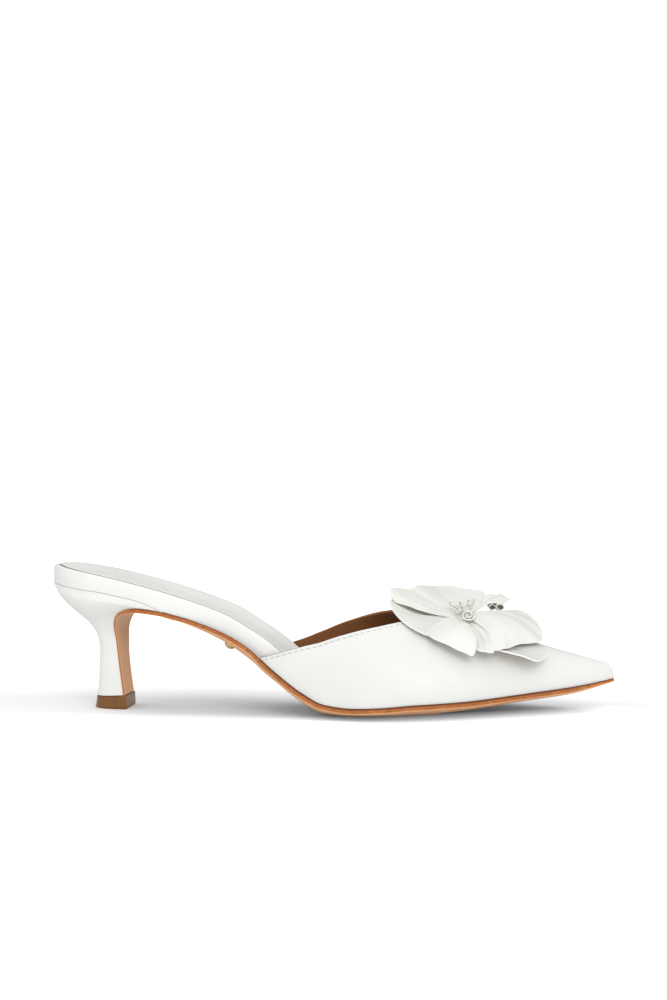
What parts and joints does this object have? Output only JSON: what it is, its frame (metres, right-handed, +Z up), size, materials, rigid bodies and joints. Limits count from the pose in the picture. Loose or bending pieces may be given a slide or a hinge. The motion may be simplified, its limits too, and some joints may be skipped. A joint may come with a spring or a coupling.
{
  "type": "pump",
  "caption": "Backless kitten-heel mule pump with a pointed closed toe, a slim flared heel, and a cut-leather flower on the vamp.",
  "frame": {"origin": "middle of the bounding box's base, on the floor the shoe stands on", "axes": "+X towards the toe, +Y towards the foot's inner side, +Z up; a right shoe"},
  "size_m": [0.2569, 0.075, 0.0672],
  "materials": {
    "vamp_leather": "smooth white leather with a fine grain and a soft sheen",
    "cover_leather": "smooth white leather covering, pulled tight",
    "sock_leather": "matt light grey lining leather over thin padding",
    "flower_leather": "off-white smooth leather with raw cut edges",
    "sole_leather": "tan sole leather with a burnished edge",
    "lift": "dark brown lift with a satin metallic sheen",
    "stud": "polished gold-coloured stud"
  },
  "bodies": {
    "root": {"upper": "vamp_leather", "footbed": "cover_leather", "insole_sock": "sock_leather", "outsole": "sole_leather", "heel": "cover_leather", "top_piece": "lift", "shank_stud": "stud", "petal_side_left": "flower_leather", "petal_between": "flower_leather", "petal_low_right": "flower_leather", "petal_rolled": "flower_leather", "petal_back": "flower_leather", "petal_front": "flower_leather", "petal_right": "flower_leather", "curl_1": "flower_leather", "curl_2": "flower_leather", "curl_3": "flower_leather", "curl_4": "flower_leather", "curl_5": "flower_leather"}
  },
  "joints": []
}
